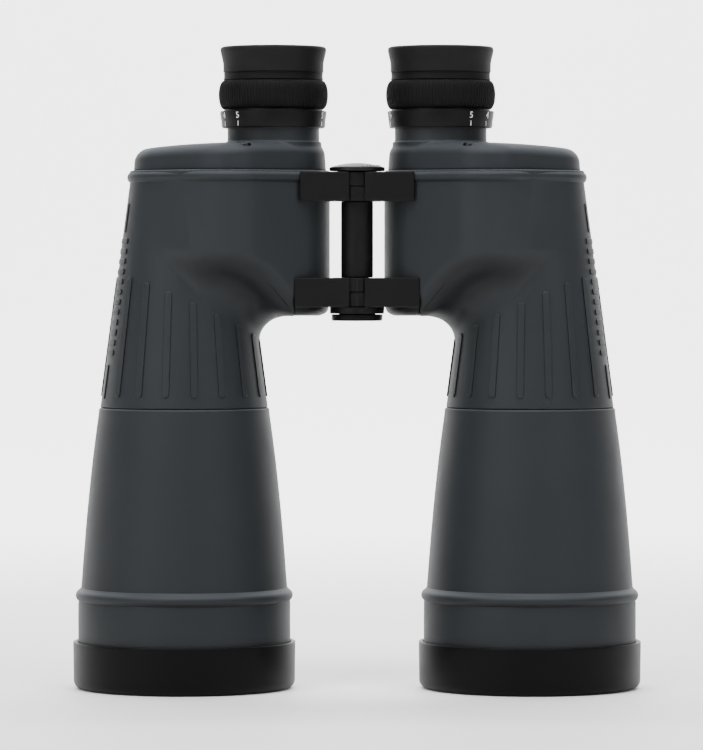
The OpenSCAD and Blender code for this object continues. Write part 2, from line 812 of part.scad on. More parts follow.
module eyecup() {
    wall = 2;
    seat = 1.5;
    throat = ocular_r - 1;
    color("black") at(eye_axis, z_eyecup) rotate_extrude() polygon([
        [throat, 0], [eyecup_r, 0], [eyecup_r - 0.1, eyecup_h * 0.35], [eyecup_r + 0.3, eyecup_h * 0.6],
        [eyecup_r + eyecup_flare, eyecup_h - 0.8], [eyecup_r + eyecup_flare - 0.5, eyecup_h],
        [eyecup_r + eyecup_flare - wall, eyecup_h], [eyecup_r - wall, eyecup_h * 0.5],
        [eyecup_r - wall - 0.5, seat], [throat, seat]]);
}

// ---- strap lug ----

module lug_place() {
    on_stub(lug_angle, (z_lug - z_seam) / cos(stub_lean)) children();
}

// The lug's base plate, which lies in the armour on the casting
module lug_seat(gap) {
    base_w = 6;
    lug_place() translate([-armour_t - 1, -base_w / 2 - gap, -3 - gap])
        cube([armour_t + 1.4 + gap, base_w + 2 * gap, lug_slot + 6 + 2 * gap]);
}

module lug_bolts() {
    for (z = [-1.5, lug_slot + 1.5])
        lug_place() translate([-8, 0, z]) rotate([0, 90, 0]) cylinder(r = 0.85, h = 8, $fn = FINE_FN);
}

module strap_lug() {
    bar_w = 4;
    color("black") difference() {
        union() {
            lug_seat(0);
            lug_place() translate([0, -bar_w / 2, -lug_bar])
                cube([lug_gap + lug_bar, bar_w, lug_slot + 2 * lug_bar]);
        }
        lug_place() translate([0.4, -bar_w, 0]) cube([lug_gap, 2 * bar_w, lug_slot]);
        body_solid(armour_t, z_cover + 1);
    }
}

// ---- one node at a time ----

// knuckle_up: the left arms carry their knuckles in the upper half, the right arms in the lower half
module part_of_side(name, knuckle_up) {
    if (name == "body_casting") body_casting();
    if (name == "body_armour") body_armour();
    if (name == "rear_cover") rear_cover();
    if (name == "cover_screws") cover_screws();
    if (name == "cover_gasket") cover_gasket();
    if (name == "prism_shelf") prism_shelf();
    if (name == "upper_prism") upper_prism();
    if (name == "lower_prism") lower_prism();
    if (name == "prism_straps") prism_straps();
    if (name == "objective_tube") objective_tube();
    if (name == "objective_armour") objective_armour();
    if (name == "objective_cell") objective_cell();
    if (name == "objective_front_lens") objective_front_lens();
    if (name == "objective_rear_lens") objective_rear_lens();
    if (name == "objective_retainer") objective_retainer();
    if (name == "objective_cap") objective_cap();
    if (name == "eyepiece_neck") eyepiece_neck();
    if (name == "ocular_barrel") ocular_barrel();
    if (name == "field_lens") field_lens();
    if (name == "eye_lens") eye_lens();
    if (name == "dioptre_ring") dioptre_ring();
    if (name == "focus_ring") focus_ring();
    if (name == "eyecup") eyecup();
    if (name == "upper_arm") upper_arm(knuckle_up);
    if (name == "lower_arm") lower_arm(knuckle_up);
    if (name == "strap_lug") strap_lug();
}

for (name = LEFT_RIGHT) {
    part_of_side(name, true);
    mirror([1, 0, 0]) part_of_side(name, false);
}
hinge_axle();
hinge_tube();
hinge_washers();
hinge_locknut();
scale_disc();
tripod_cap();
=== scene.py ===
"""Prism binoculars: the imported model's nodes, and the finished surfaces that cover them."""
import json
import math

import bmesh
import bpy
import numpy as np
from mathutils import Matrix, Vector


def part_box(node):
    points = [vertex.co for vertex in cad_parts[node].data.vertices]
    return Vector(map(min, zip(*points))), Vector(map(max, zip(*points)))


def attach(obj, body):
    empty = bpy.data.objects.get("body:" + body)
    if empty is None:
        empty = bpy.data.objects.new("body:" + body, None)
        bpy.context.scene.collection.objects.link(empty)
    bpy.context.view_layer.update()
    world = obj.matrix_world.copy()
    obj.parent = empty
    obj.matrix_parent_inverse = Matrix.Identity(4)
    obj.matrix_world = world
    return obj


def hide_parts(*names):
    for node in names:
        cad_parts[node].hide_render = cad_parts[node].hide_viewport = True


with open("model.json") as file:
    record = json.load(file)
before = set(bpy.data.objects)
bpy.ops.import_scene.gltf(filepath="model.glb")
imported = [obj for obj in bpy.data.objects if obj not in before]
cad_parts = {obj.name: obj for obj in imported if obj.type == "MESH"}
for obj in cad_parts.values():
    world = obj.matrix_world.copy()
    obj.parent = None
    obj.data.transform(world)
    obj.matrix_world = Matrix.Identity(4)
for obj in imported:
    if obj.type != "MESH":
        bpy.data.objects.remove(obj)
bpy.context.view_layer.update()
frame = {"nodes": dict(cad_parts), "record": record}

MM = 0.001


# ---- sizes, in millimetres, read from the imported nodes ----

def node_box(node):
    """Lowest and highest corner of a node, in millimetres."""
    low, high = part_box(node)
    return np.array(low) / MM, np.array(high) / MM


def middle(node):
    low, high = node_box(node)
    return (low + high) / 2


def radius(node):
    low, high = node_box(node)
    return (high[0] - low[0]) / 2


def low_z(node):
    return node_box(node)[0][2]


def high_z(node):
    return node_box(node)[1][2]


OBJECTIVE = middle("left_objective_cap")[:2]
EYE = middle("left_focus_ring")[:2]
HINGE = middle("hinge_tube")[:2]
COVER_LOW, COVER_HIGH = low_z("left_rear_cover"), high_z("left_rear_cover")
SEAM = low_z("left_body_armour")
RIDGE = COVER_LOW - 5.4
CAP_TOP = high_z("left_objective_cap")
RIM_LOW = low_z("left_objective_armour")
CAP_R = radius("left_objective_cap")
RIM_R = radius("left_objective_armour") - 1.1
END_R = 23.5
OUTER_R = 22.5
CROWN_R = 21.0
SHIFT = EYE[0] - OBJECTIVE[0]
CROWN = np.array([EYE[0] - SHIFT / 2, node_box("left_rear_cover")[0][1] - 1.2 + CROWN_R])
HOUSING_FLOOR = SEAM + 38.2
STUB_R = 34.9
STUB_TAPER = (STUB_R - OUTER_R) / (RIDGE - SEAM)
SIDES = (("left", 1), ("right", -1))


# ---- meshes ----

def new_object(name, vertices, faces, material, side=1, smooth=True):
    """A mesh object from millimetres; side -1 mirrors it to the right half."""
    verts = np.asarray(vertices, float) * MM
    faces = [list(f) for f in faces]
    if side < 0:
        verts = verts * (-1, 1, 1)
        faces = [f[::-1] for f in faces]
    mesh = bpy.data.meshes.new(name)
    mesh.from_pydata(verts.tolist(), [], faces)
    mesh.validate()
    mesh.polygons.foreach_set("use_smooth", [smooth] * len(mesh.polygons))
    mesh.materials.append(material)
    piece = bpy.data.objects.new(name, mesh)
    bpy.context.collection.objects.link(piece)
    return piece


def harden(piece, degrees=32):
    """Marks the edges that stay crisp under smooth shading."""
    bm = bmesh.new()
    bm.from_mesh(piece.data)
    limit = math.radians(degrees)
    for edge in bm.edges:
        if len(edge.link_faces) == 2:
            edge.smooth = edge.calc_face_angle(0.0) < limit
    bm.to_mesh(piece.data)
    bm.free()


def lathe(name, profile, centre, material, side=1, steps=160, closed=True):
    """Turns a profile of (radius, height) pairs; a closed profile runs round the section anticlockwise."""
    profile = np.asarray(profile, float)
    angles = np.arange(steps) * 2 * math.pi / steps
    rings = []
    for r, z in profile:
        rings.append(np.column_stack([centre[0] + r * np.cos(angles), centre[1] + r * np.sin(angles),
                                      np.full(steps, z)]))
    verts = np.concatenate(rings)
    faces = []
    count = len(profile)
    for i in range(count if closed else count - 1):
        j = (i + 1) % count
        for k in range(steps):
            m = (k + 1) % steps
            faces.append((i * steps + k, i * steps + m, j * steps + m, j * steps + k))
    piece = new_object(name, verts, faces, material, side)
    bm = bmesh.new()
    bm.from_mesh(piece.data)
    bmesh.ops.remove_doubles(bm, verts=bm.verts, dist=1e-7)
    bmesh.ops.dissolve_degenerate(bm, edges=bm.edges, dist=1e-8)
    bmesh.ops.recalc_face_normals(bm, faces=bm.faces)
    bm.to_mesh(piece.data)
    bm.free()
    harden(piece)
    return piece


def corner(r, z, size, start, end, count=5):
    """Points of a rounded corner about (r, z), from one angle to another in degrees."""
    return [(r + size * math.cos(math.radians(a)), z + size * math.sin(math.radians(a)))
            for a in np.linspace(start, end, count)]


def skin(name, field, low, high, step, material, side=1):
    """Meshes the surface where a field of signed distances is zero, as quads on a grid of cells."""
    axes = [np.arange(low[i], high[i] + step, step) for i in range(3)]
    shape = [len(a) for a in axes]
    values = np.empty(shape, np.float32)
    plane = np.stack(np.meshgrid(axes[0], axes[1], indexing="ij"), -1).reshape(-1, 2)
    for k, z in enumerate(axes[2]):
        points = np.column_stack([plane, np.full(len(plane), z)])
        values[:, :, k] = field(points).reshape(shape[0], shape[1])
    inside = values < 0
    cells = [n - 1 for n in shape]
    corners = [(i, j, k) for i in (0, 1) for j in (0, 1) for k in (0, 1)]

    def at_corner(array, c):
        return array[c[0]:c[0] + cells[0], c[1]:c[1] + cells[1], c[2]:c[2] + cells[2]]

    number = sum(at_corner(inside, c).astype(np.int8) for c in corners)
    crossed = (number > 0) & (number < 8)
    index = np.full(cells, -1, np.int64)
    index[crossed] = np.arange(crossed.sum())
    total = np.zeros((crossed.sum(), 3))
    hits = np.zeros(crossed.sum())
    for a in corners:
        for axis in range(3):
            if a[axis]:
                continue
            b = list(a)
            b[axis] = 1
            va, vb = at_corner(values, a)[crossed], at_corner(values, b)[crossed]
            cut = (va < 0) != (vb < 0)
            share = np.where(cut, va / np.where(cut, va - vb, 1), 0)
            place = np.tile(np.array(a, float), (len(va), 1))
            place[:, axis] += share
            total += place * cut[:, None]
            hits += cut
    origin = np.array([a[0] for a in axes])
    points = origin + (np.argwhere(crossed) + total / hits[:, None]) * step
    faces = []
    for axis in range(3):
        u, v = (axis + 1) % 3, (axis + 2) % 3
        lo = [slice(1, -1)] * 3
        lo[axis] = slice(0, -1)
        hi = list(lo)
        hi[axis] = slice(1, None)
        first, second = inside[tuple(lo)], inside[tuple(hi)]
        for falling in (True, False):
            where = np.argwhere(first & ~second if falling else ~first & second)
            where[:, [u, v]] += 1
            quad = []
            for du, dv in ((-1, -1), (0, -1), (0, 0), (-1, 0)):
                cell = where.copy()
                cell[:, u] += du
                cell[:, v] += dv
                quad.append(index[cell[:, 0], cell[:, 1], cell[:, 2]])
            quad = np.stack(quad, 1)
            faces.append(quad if falling else quad[:, ::-1])
    faces = np.concatenate(faces)
    nudge = step * 0.05
    for _ in range(3):
        value = field(points)
        slope = np.stack([(field(points + d) - field(points - d)) / (2 * nudge)
                          for d in np.eye(3) * nudge], 1)
        length = np.maximum((slope ** 2).sum(1), 0.2)
        move = -slope * (value / length)[:, None]
        reach = np.linalg.norm(move, axis=1)
        points = points + move * np.minimum(1, 0.4 * step / np.maximum(reach, 1e-9))[:, None]
    return new_object(name, points, faces.tolist(), material, side)


# ---- fields of signed distance, negative inside ----

def both(a, b, r):
    """Intersection of two solids with a rounded edge of radius r."""
    a, b = a + r, b + r
    return np.minimum(np.maximum(a, b), 0) + np.hypot(np.maximum(a, 0), np.maximum(b, 0)) - r


def either(a, b, k):
    """Union of two solids with a fillet about k wide."""
    h = np.maximum(k - np.abs(a - b), 0) / np.maximum(k, 1e-6)
    return np.minimum(a, b) - h * h * k / 4


def brick(p, low, high, r):
    """A box with all its edges rounded."""
    low, high = np.array(low, float), np.array(high, float)
    q = np.abs(p - (low + high) / 2) - (high - low) / 2 + r
    return np.linalg.norm(np.maximum(q, 0), axis=1) + np.minimum(q.max(1), 0) - r


def post(p, centre, r, low, high, edge):
    """A round post along Z with rounded ends."""
    wall = np.hypot(p[:, 0] - centre[0], p[:, 1] - centre[1]) - r
    return both(wall, np.maximum(low - p[:, 2], p[:, 2] - high), edge)


def outline_circles(outer_r=OUTER_R):
    """The three circles that the housing's plan runs round, as (centre, radius)."""
    return [(EYE, END_R), (OBJECTIVE, outer_r), (CROWN, CROWN_R)]


def tangent_angles(circles):
    """Direction in which each straight between two circles faces."""
    angles = []
    for (a, ra), (b, rb) in zip(circles, circles[1:] + circles[:1]):
        d = b - a
        angles.append(math.atan2(d[1], d[0]) - np.arccos((ra - rb) / math.hypot(*d)))
    return angles


def outline(p, outer_r=OUTER_R):
    """Distance from the band round the three circles, in plan; the outer one may vary in radius."""
    circles = outline_circles(outer_r)
    normals = [(np.cos(a), np.sin(a)) for a in tangent_angles(circles)]
    lines = [(p[:, 0] - c[0]) * nx + (p[:, 1] - c[1]) * ny - r for (c, r), (nx, ny) in zip(circles, normals)]
    result = np.max(lines, axis=0)
    for i, (centre, r) in enumerate(circles):
        before, after = normals[i - 1], normals[i]
        qx, qy = p[:, 0] - centre[0], p[:, 1] - centre[1]
        wedge = (before[0] * qy - before[1] * qx > 0) & (qx * after[1] - qy * after[0] > 0)
        result = np.where(wedge, np.maximum(result, np.hypot(qx, qy) - r), result)
    return result


def stub_radius(z):
    return STUB_R - STUB_TAPER * (z - SEAM)


HIP_EDGE, HIP_FILLET = 8, 15
STUB_R_MOST = 31


def housing_outline(p):
    """The housing's outer end widens downwards with the stub, so its front runs into the stub smoothly."""
    return outline(p, np.clip(stub_radius(p[:, 2]), OUTER_R, STUB_R_MOST))


def housing_field(p):
    """The prism housing with its sloping, rounded underside."""
    z = p[:, 2]
    climb = (HOUSING_FLOOR - 34.5 - (p[:, 0] + p[:, 1]) * math.sqrt(0.5) - z) * math.sqrt(0.5)
    under = either(climb, HOUSING_FLOOR + 20.5 - z, 12)
    body = both(housing_outline(p), under, HIP_EDGE)
    return both(body, HOUSING_FLOOR - z, 4)


def stub_field(p):
    ring = np.hypot(p[:, 0] - OBJECTIVE[0], p[:, 1] - OBJECTIVE[1])
    wall = (ring - stub_radius(p[:, 2])) * math.cos(math.atan(STUB_TAPER))
    return both(wall, SEAM - p[:, 2], 0.7)


def armour_field(p):
    z = p[:, 2]
    stub = stub_field(p)
    # the fillet grows with the housing's overhang, and there is none where the two surfaces are one
    overhang = stub - housing_outline(p)
    fillet = np.clip(overhang * 2.2, 0.2, HIP_FILLET)
    body = either(housing_field(p), stub, fillet)
    return np.maximum(body, z - COVER_LOW + 0.2)


# Where the armour leaves the housing's lower inner corner bare
BARE_X = -25.7
BARE_TOP = HOUSING_FLOOR + 8


def bare_region(p, gap):
    return np.maximum(np.maximum(BARE_X - gap - p[:, 0], p[:, 2] - BARE_TOP),
                      np.maximum(-24 - gap - p[:, 1], p[:, 1] - 6 - gap))


def cut_armour_field(p):
    recess = np.maximum(bare_region(p, 0.25), -(housing_field(p) + 1.6))
    return np.maximum(armour_field(p), -recess)


def bare_corner_field(p):
    return both(housing_field(p) + 0.45, bare_region(p, 0), 0.3)


SCREW_HOLE_R = 2.85
SCREW_INSET = 6


def turned(centre, r, degrees):
    """A point at a distance and a direction from a centre."""
    return tuple(centre + r * np.array([math.cos(math.radians(degrees)), math.sin(math.radians(degrees))]))


SCREWS = [(CROWN[0], OUTER_R - SCREW_INSET), turned(OBJECTIVE, OUTER_R - SCREW_INSET, 110),
          turned(CROWN, CROWN_R - SCREW_INSET - 0.5, -60)]


def cover_top(x, y):
    """Height of the cover's crowned top."""
    away = np.maximum(np.hypot(x - EYE[0], y - EYE[1]) - 15, 0)
    return COVER_HIGH - 0.0017 * away ** 2


def cover_field(p):
    z = p[:, 2]
    # the wall leans in a little as it rises
    plan = outline(p) + 1.6 + 0.07 * (z - COVER_LOW)
    body = both(plan, z - cover_top(p[:, 0], p[:, 1]), 5.0)
    neck = np.hypot(p[:, 0] - EYE[0], p[:, 1] - EYE[1]) - 20.0
    # a low step runs round the neck
    body = either(body, np.maximum(neck, z - COVER_HIGH - 0.3), 0.7)
    for s in SCREWS:
        hole = np.maximum(np.hypot(p[:, 0] - s[0], p[:, 1] - s[1]) - SCREW_HOLE_R, cover_top(*s) - 1.6 - z)
        body = np.maximum(body, -hole)
    # the neck's bore, through which the ocular slides
    body = np.maximum(body, 17.7 - np.hypot(p[:, 0] - EYE[0], p[:, 1] - EYE[1]))
    return np.maximum(body, COVER_LOW - z)


def screw_field(p):
    """Pan heads with a cross recess, sunk in the cover's pockets."""
    result = np.full(len(p), 50.0)
    for s in SCREWS:
        top = cover_top(*s) - 0.35
        head = post(p, s, SCREW_HOLE_R - 0.25, top - 2.2, top, 0.6)
        x, y = np.abs(p[:, 0] - s[0]), np.abs(p[:, 1] - s[1])
        arms = np.minimum(np.maximum(x - 0.36, y - 1.5), np.maximum(y - 0.36, x - 1.5))
        result = np.minimum(result, np.maximum(head, -np.maximum(arms, top - 0.9 - p[:, 2])))
    return result


# ---- shader expressions ----

class Signal:
    """A shader socket that can be used in Python arithmetic; each operation adds its Math node."""

    def __init__(self, finish, socket):
        self.finish, self.socket = finish, socket

    def math(self, operation, other=None, swap=False):
        values = [self] if other is None else ([other, self] if swap else [self, other])
        return self.finish.node("ShaderNodeMath", {"operation": operation}, dict(enumerate(values)))

    def __add__(self, other): return self.math("ADD", other)
    def __radd__(self, other): return self.math("ADD", other, True)
    def __sub__(self, other): return self.math("SUBTRACT", other)
    def __rsub__(self, other): return self.math("SUBTRACT", other, True)
    def __mul__(self, other): return self.math("MULTIPLY", other)
    def __rmul__(self, other): return self.math("MULTIPLY", other, True)
    def __truediv__(self, other): return self.math("DIVIDE", other)
    def __pow__(self, other): return self.math("POWER", other)
    def __gt__(self, other): return self.math("GREATER_THAN", other)
    def __lt__(self, other): return self.math("LESS_THAN", other)


class Finish:
    """A material and the nodes that drive its Principled shader."""

    def __init__(self, name, **fixed):
        self.material = bpy.data.materials.new(name)
        self.material.use_nodes = True
        self.tree = self.material.node_tree
        self.shader = self.tree.nodes["Principled BSDF"]
        for key, value in fixed.items():
            self.shader.inputs[key.replace("_", " ")].default_value = value
        self.place = self.node("ShaderNodeTexCoord", {}, {}, "Object")

    def link(self, value, socket):
        if isinstance(value, Signal):
            self.tree.links.new(value.socket, socket)
        else:
            socket.default_value = value

    def node(self, kind, settings, inputs, output=0):
        node = self.tree.nodes.new(kind)
        for key, value in settings.items():
            if key == "stops":
                ramp_ = node.color_ramp
                while len(ramp_.elements) < len(value):
                    ramp_.elements.new(0.5)
                for element, (at, colour) in zip(ramp_.elements, value):
                    element.position, element.color = at, colour
            else:
                setattr(node, key, value)
        for key, value in inputs.items():
            self.link(value, node.inputs[key])
        return Signal(self, node.outputs[output])

    def noise(self, scale, detail=3, roughness=0.55, vector=None):
        return self.node("ShaderNodeTexNoise", {},
                         {"Vector": vector or self.place, "Scale": scale, "Detail": detail,
                          "Roughness": roughness})

    def smooth(self, value, low, high):
        """Rises smoothly from 0 to 1 between two values."""
        return self.node("ShaderNodeMapRange", {"interpolation_type": "SMOOTHSTEP"},
                         {0: value, 1: low, 2: high})

    def blend(self, factor, a, b):
        mix = self.node("ShaderNodeMix", {"data_type": "RGBA"}, {"Factor": factor}, 2)
        node = mix.socket.node
        self.link(a, node.inputs[6])
        self.link(b, node.inputs[7])
        return mix

    def drive(self, **links):
        for key, value in links.items():
            self.link(value, self.shader.inputs[key.replace("_", " ")])
        return self

    def bump(self, height, strength, distance):
        return self.node("ShaderNodeBump", {}, {"Strength": strength, "Distance": distance, "Height": height})


def shade(value):
    """Linear colour from a display shade between 0 and 255."""
    return tuple(((c / 255 + 0.055) / 1.055) ** 2.4 if c > 10 else c / 255 / 12.92 for c in value) + (1,)


def moulded(name, dark, light, rough, grain, depth, specular=0.5, coat=0.0):
    """Moulded rubber or plastic: cloudy tone, fine grain and a little handling polish, with painted light on
    faces turned up and painted shade on faces turned down.
    """
    f = Finish(name, Specular_IOR_Level=specular, Coat_Weight=coat, Coat_Roughness=0.25)
    cloud = f.noise(34, 4, 0.6)
    fine = f.noise(grain, 2, 0.6)
    coarse = f.noise(grain / 3.2, 2, 0.5)
    dust = f.noise(620, 2, 0.7) > 0.72
    tone = f.blend(cloud * 0.75 + fine * 0.25, shade(dark), shade(light))
    tone = f.blend(dust * 0.05, tone, shade((90, 89, 86)))
    # painted light and shade: what faces up is painted paler, as if lit from above, and what faces down is
    # painted darker, as painted shadow
    rise = f.node("ShaderNodeSeparateXYZ", {}, {0: f.node("ShaderNodeTexCoord", {}, {}, "Normal")}, "Z")
    above = f.smooth(rise, 0.12, 0.75)
    under = f.smooth(rise * -1.0, 0.08, 0.55)
    # painted light on the faces turned up
    tone = f.blend(above * 0.5, tone, shade([c * 1.9 + 4 for c in light]))
    # painted shade on the faces turned down
    tone = f.blend(under * 0.75, tone, shade([c * 0.45 for c in dark]))
    polish = f.noise(55, 2, 0.5)
    height = fine * 0.6 + coarse * 0.4
    f.drive(Base_Color=tone, Roughness=rough + (polish - 0.5) * 0.12 + (fine - 0.5) * 0.1,
            Normal=f.bump(height, depth, 0.0001))
    return f.material


def enamel(name, colour, rough, metallic=0.0, depth=0.12, wear=(70, 68, 66)):
    """Painted or anodised metal, with fine orange peel and faint wear on the crests."""
    f = Finish(name, Specular_IOR_Level=0.14)
    peel = f.noise(1500, 2, 0.5)
    cloud = f.noise(90, 4, 0.6)
    crest = f.node("ShaderNodeNewGeometry", {}, {}, "Pointiness")
    stops = [(0.53, (0, 0, 0, 1)), (0.62, (1, 1, 1, 1))]
    worn = f.node("ShaderNodeValToRGB", {"stops": stops}, {"Fac": crest})
    worn = f.node("ShaderNodeRGBToBW", {}, {0: worn}) * (f.noise(400, 3) > 0.5)
    tone = f.blend(cloud * 0.5, shade(colour), shade(tuple(c + 9 for c in colour)))
    tone = f.blend(worn * 0.35, tone, shade(wear))
    f.drive(Base_Color=tone, Metallic=metallic, Roughness=rough + (cloud - 0.5) * 0.14,
            Normal=f.bump(peel, depth, 0.00005))
    return f.material


def turned_metal(name, colour, rough, lines=2600):
    """Bare machined metal with fine turning lines."""
    f = Finish(name, Metallic=1.0)
    flat = f.node("ShaderNodeMapping", {}, {"Vector": f.place, "Scale": (1, 1, 22)})
    streak = f.noise(lines / 6, 3, 0.6, flat)
    tone = f.blend(streak, shade(tuple(int(c * 0.82) for c in colour)), shade(colour))
    f.drive(Base_Color=tone, Roughness=rough + (streak - 0.5) * 0.2, Normal=f.bump(streak, 0.15, 0.00003))
    return f.material


def coated_glass(name, tint, rim):
    """Lens glass with a coating whose colour changes towards grazing angles."""
    f = Finish(name, Transmission_Weight=0.82, IOR=1.52, Roughness=0.02, Coat_Weight=0.6, Coat_Roughness=0.03)
    edge = f.node("ShaderNodeLayerWeight", {}, {"Blend": 0.35}, "Facing")
    smear = f.noise(60, 3, 0.6)
    f.drive(Base_Color=f.blend(edge, tint + (1,), rim + (1,)), Roughness=0.02 + smear * 0.03)
    return f.material


ARMOUR = moulded("armour_rubber", (27, 30, 32), (34, 37, 40), 0.55, 1500, 0.28, specular=0.22)
# near-black finish for the walls of the stub's pads: painted shade of the crease round each pad
PAINTED_CREASE_SHADE = moulded("armour_painted_crease_shade", (7, 8, 8), (11, 12, 12), 0.8, 1500, 0.1, specular=0.05)
GRIP = moulded("grip_rubber", (8, 8, 9), (12, 12, 13), 0.62, 2200, 0.22, specular=0.12)
CUP = moulded("eyecup_rubber", (12, 12, 13), (17, 17, 18), 0.64, 1900, 0.28, specular=0.15)
CAP = moulded("cap_plastic", (5, 4, 5), (8, 7, 8), 0.42, 1700, 0.12, specular=0.10)
ENAMEL = enamel("hinge_enamel", (9, 8, 9), 0.48, wear=(26, 25, 24))
ANODISED = enamel("black_anodised", (5, 5, 6), 0.45, wear=(20, 20, 20))
CASTING = enamel("painted_casting", (20, 20, 21), 0.6, wear=(34, 33, 32))
DISC = moulded("disc_plastic", (6, 6, 7), (10, 10, 11), 0.4, 1800, 0.05, specular=0.25)
PAINT = moulded("white_paint", (205, 205, 200), (228, 228, 224), 0.5, 2400, 0.1)
STEEL = turned_metal("machined_steel", (176, 176, 178), 0.32)
BRASS = turned_metal("spring_brass", (190, 158, 96), 0.34)
BLACK_SCREW = turned_metal("blackened_screw", (62, 62, 64), 0.35)
GLASS = coated_glass("coated_glass", (0.10, 0.22, 0.20), (0.32, 0.12, 0.36))
EYE_GLASS = coated_glass("eye_lens_glass", (0.12, 0.16, 0.24), (0.20, 0.30, 0.18))


# ---- repeats, grown by geometry nodes ----

def node_tree(name, inputs):
    tree = bpy.data.node_groups.new(name, "GeometryNodeTree")
    tree.interface.new_socket("Geometry", in_out="INPUT", socket_type="NodeSocketGeometry")
    tree.interface.new_socket("Geometry", in_out="OUTPUT", socket_type="NodeSocketGeometry")
    for key, kind in inputs.items():
        tree.interface.new_socket(key, in_out="INPUT", socket_type=kind)
    return tree


class Growth:
    """Builds a geometry node tree; add() takes a node's type, its settings and its inputs."""

    def __init__(self, name, inputs):
        self.tree = node_tree(name, inputs)
        self.entry = self.tree.nodes.new("NodeGroupInput")
        self.exit = self.tree.nodes.new("NodeGroupOutput")

    def __getitem__(self, name):
        return self.entry.outputs[name]

    def add(self, kind, settings=None, output=0, **inputs):
        node = self.tree.nodes.new(kind)
        for key, value in (settings or {}).items():
            setattr(node, key, value)
        for key, value in inputs.items():
            numbered = key[0] == "i" and key[1:].isdigit()
            socket = node.inputs[int(key[1:]) if numbered else key.replace("_", " ")]
            if isinstance(value, bpy.types.NodeSocket):
                self.tree.links.new(value, socket)
            else:
                socket.default_value = value
        return node.outputs[output]

    def finish(self, geometry, material):
        real = self.add("GeometryNodeRealizeInstances", Geometry=geometry)
        done = self.add("GeometryNodeSetMaterial", Geometry=real, Material=material)
        self.tree.links.new(done, self.exit.inputs[0])

    def grow(self, name, side, slot, **values):
        """Runs the tree on an empty mesh and returns its result as a plain mesh object."""
        seed = bpy.data.objects.new(name, bpy.data.meshes.new(name))
        bpy.context.collection.objects.link(seed)
        modifier = seed.modifiers.new("grow", "NODES")
        modifier.node_group = self.tree
        for item in self.tree.interface.items_tree:
            if item.item_type == "SOCKET" and item.in_out == "INPUT" and item.name in values:
                modifier[item.identifier] = values[item.name]
        graph = bpy.context.evaluated_depsgraph_get()
        mesh = bpy.data.meshes.new_from_object(seed.evaluated_get(graph))
        seed.modifiers.remove(modifier)
        seed.data = mesh
        if side < 0:
            bm = bmesh.new()
            bm.from_mesh(mesh)
            for vertex in bm.verts:
                vertex.co.x *= -1
            bmesh.ops.reverse_faces(bm, faces=bm.faces)
            bm.to_mesh(mesh)
            bm.free()
        return seed


# Bulge of the focusing ring as a Bezier curve: (away from its widest radius, height) of the four points
GRIP_CURVE = [(-2.2, -5.8), (0.75, -5.6), (0.75, 5.6), (-2.2, 5.8)]


def grip_bulge(t):
    weights = np.array([(1 - t) ** 3, 3 * t * (1 - t) ** 2, 3 * t * t * (1 - t), t ** 3])
    return weights @ np.array(GRIP_CURVE)


def ring_of_ribs(material):
    """Ribs with rounded crests, set round a ring and bulging like a barrel."""
    g = Growth("ring_of_ribs", {"Count": "NodeSocketInt", "Radius": "NodeSocketFloat",
                                "Width": "NodeSocketFloat", "Level": "NodeSocketFloat",
                                "Centre": "NodeSocketVector"})
    circle = g.add("GeometryNodeCurvePrimitiveCircle", Resolution=g["Count"], Radius=g["Radius"])
    points = g.add("GeometryNodeCurveToPoints", {"mode": "EVALUATED"}, Curve=circle)
    place = g.add("GeometryNodeInputPosition")
    turn = g.add("FunctionNodeAlignRotationToVector", {"axis": "X"}, Vector=place)
    ends = [tuple(c * MM for c in (x, 0, z)) for x, z in GRIP_CURVE]
    path = g.add("GeometryNodeCurvePrimitiveBezierSegment", Resolution=12, Start=ends[0],
                 Start_Handle=ends[1], End_Handle=ends[2], End=ends[3])
    section = g.add("GeometryNodeCurvePrimitiveCircle", Resolution=6, Radius=g["Width"])
    rib = g.add("GeometryNodeCurveToMesh", Curve=path, Profile_Curve=section, Fill_Caps=True)
    placed = g.add("GeometryNodeInstanceOnPoints", Points=points, Instance=rib, Rotation=turn)
    lift = g.add("ShaderNodeCombineXYZ", Z=g["Level"])
    shift = g.add("ShaderNodeVectorMath", {"operation": "ADD"}, i0=g["Centre"], i1=lift)
    moved = g.add("GeometryNodeTransform", Geometry=placed, Translation=shift)
    g.finish(moved, material)
    return g


def scale_ticks(material):
    """Short upright marks round a ring, a few degrees apart."""
    g = Growth("scale_ticks", {"Count": "NodeSocketInt", "Radius": "NodeSocketFloat",
                               "Start": "NodeSocketFloat", "Sweep": "NodeSocketFloat",
                               "Size": "NodeSocketVector", "Place": "NodeSocketVector"})
    arc = g.add("GeometryNodeCurveArc", {"mode": "RADIUS"}, Resolution=g["Count"], Radius=g["Radius"],
                Start_Angle=g["Start"], Sweep_Angle=g["Sweep"])
    points = g.add("GeometryNodeCurveToPoints", {"mode": "EVALUATED"}, Curve=arc)
    place = g.add("GeometryNodeInputPosition")
    turn = g.add("FunctionNodeAlignRotationToVector", {"axis": "X"}, Vector=place)
    mark = g.add("GeometryNodeMeshCube", Size=g["Size"])
    placed = g.add("GeometryNodeInstanceOnPoints", Points=points, Instance=mark, Rotation=turn)
    moved = g.add("GeometryNodeTransform", Geometry=placed, Translation=g["Place"])
    g.finish(moved, material)
    return g


# ---- pieces ----

